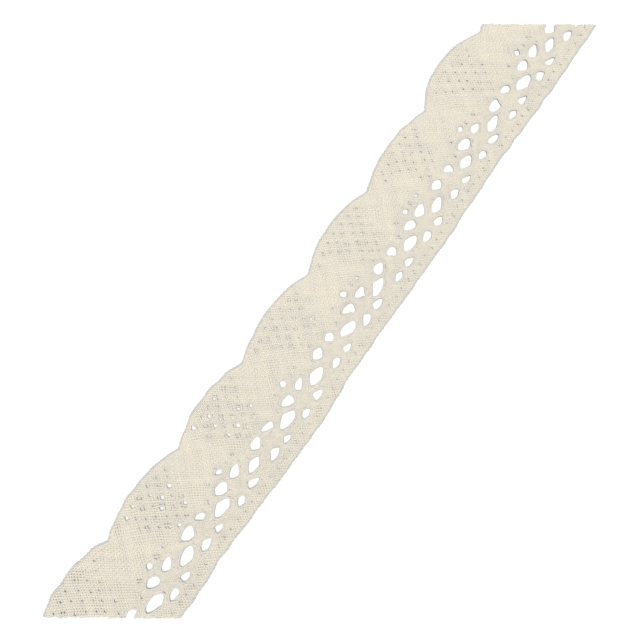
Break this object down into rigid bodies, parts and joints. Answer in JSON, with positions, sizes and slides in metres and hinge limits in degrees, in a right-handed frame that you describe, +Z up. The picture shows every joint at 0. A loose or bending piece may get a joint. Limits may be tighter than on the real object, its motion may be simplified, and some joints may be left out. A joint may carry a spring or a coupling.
{
  "type": "scalloped lace trim",
  "caption": "Flat cut length of scalloped cotton lace edging with a dense head, a band of openwork and a straight footside.",
  "frame": {"origin": "centre of the strip's box, on its flat underside", "axes": "+X along the strip, +Y across it towards the scalloped edge, +Z up off the surface it lies on"},
  "size_m": [0.1902, 0.0274, 0.0012],
  "materials": {
    "cotton_lace": "matt cream cotton thread, worked as dense lace"
  },
  "bodies": {
    "root": {"lace_trim": "cotton_lace"}
  },
  "joints": []
}
